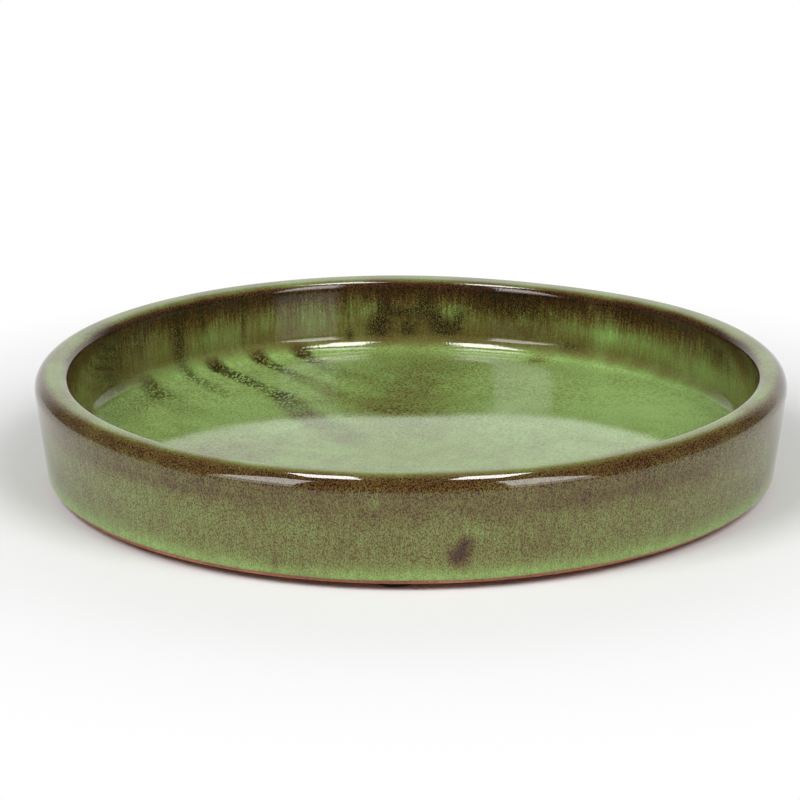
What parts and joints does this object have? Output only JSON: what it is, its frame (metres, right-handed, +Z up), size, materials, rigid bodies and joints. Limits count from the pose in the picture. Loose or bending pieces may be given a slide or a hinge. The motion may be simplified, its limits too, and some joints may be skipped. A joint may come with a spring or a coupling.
{
  "type": "plant saucer",
  "caption": "Round glazed ceramic plant saucer: a thick low wall with a rounded rim round a flat well that catches water under a pot, standing on small rubber pads.",
  "frame": {"origin": "on the surface the saucer stands on, below the centre of the well", "axes": "+Z up along the axis of revolution; -Y towards the front pad, +X towards the right pad"},
  "size_m": [0.28, 0.28, 0.0425],
  "materials": {
    "terracotta": "unglazed, matte",
    "green_glaze": "glossy mottled green, brown where thin",
    "pad_rubber": "matte",
    "pad_adhesive": "tacky film"
  },
  "bodies": {
    "root": {"clay_body": "terracotta", "glaze_coat": "green_glaze", "foot_pad_front": "pad_rubber", "foot_pad_right": "pad_rubber", "foot_pad_back": "pad_rubber", "foot_pad_left": "pad_rubber", "pad_adhesive_front": "pad_adhesive", "pad_adhesive_right": "pad_adhesive", "pad_adhesive_back": "pad_adhesive", "pad_adhesive_left": "pad_adhesive"}
  },
  "joints": []
}
